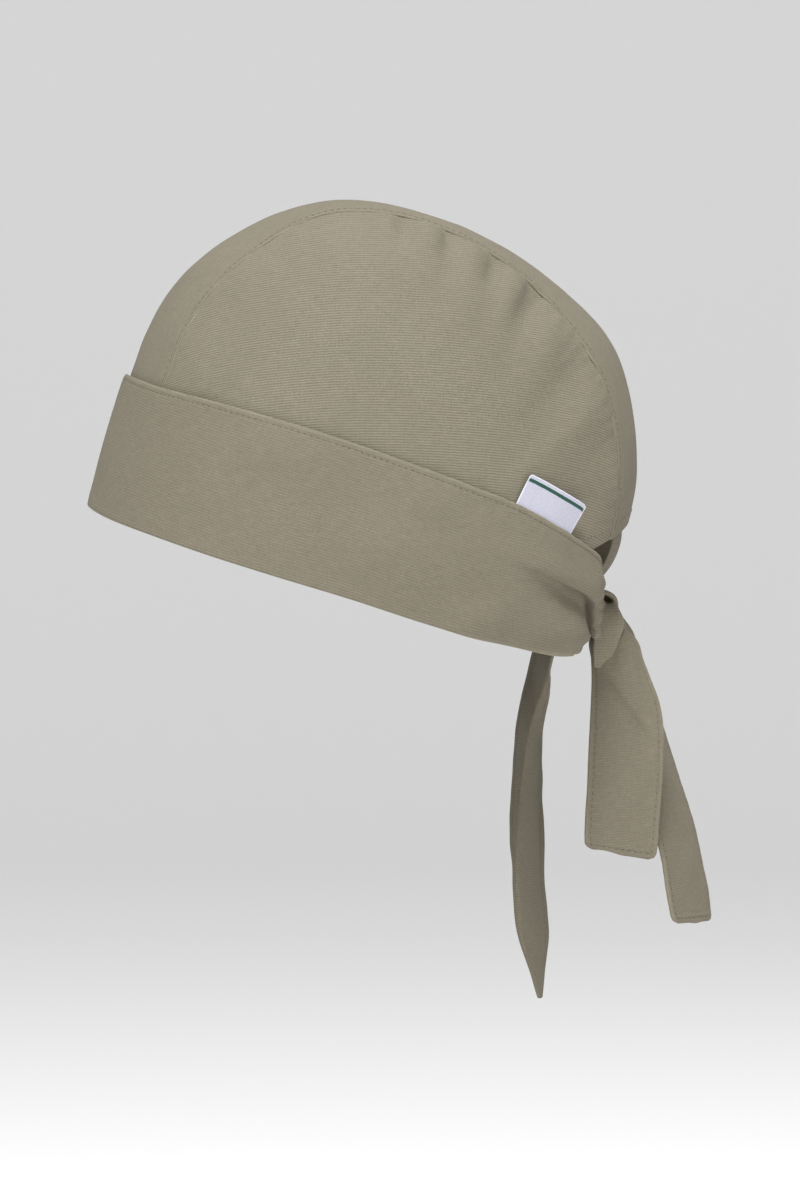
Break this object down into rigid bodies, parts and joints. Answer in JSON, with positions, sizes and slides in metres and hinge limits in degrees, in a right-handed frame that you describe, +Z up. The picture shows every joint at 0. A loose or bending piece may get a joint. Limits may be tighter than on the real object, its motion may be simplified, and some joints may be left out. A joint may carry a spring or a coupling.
{
  "type": "chef bandana",
  "caption": "Tied cloth chef bandana with a rounded panelled crown, a turned-up band, a nape knot, flat tie ends and a pointed tail.",
  "frame": {"origin": "middle of the head opening, in the plane of the rim, where a head holds the bandana", "axes": "+Z up as worn, -Y the way the wearer faces, +X the wearer's left; the rim plane dips 16.3 degrees towards the back"},
  "size_m": [0.1706, 0.2651, 0.3327],
  "materials": {
    "crown_cloth": "matt khaki cotton mix with a fine cross rib",
    "band_cloth": "matt khaki cotton mix, double layer, topstitched",
    "tail_cloth": "matt khaki cotton mix, single layer",
    "tie_cloth": "matt khaki cotton mix, double layer, topstitched",
    "label_weave": "satin woven tape, off-white"
  },
  "bodies": {
    "root": {"front_band": "band_cloth", "centre_panel": "crown_cloth", "side_panel_left": "crown_cloth", "side_panel_right": "crown_cloth", "tail": "tail_cloth", "knot": "tie_cloth", "tie_left": "tie_cloth", "tie_right": "tie_cloth", "label": "label_weave"}
  },
  "joints": []
}
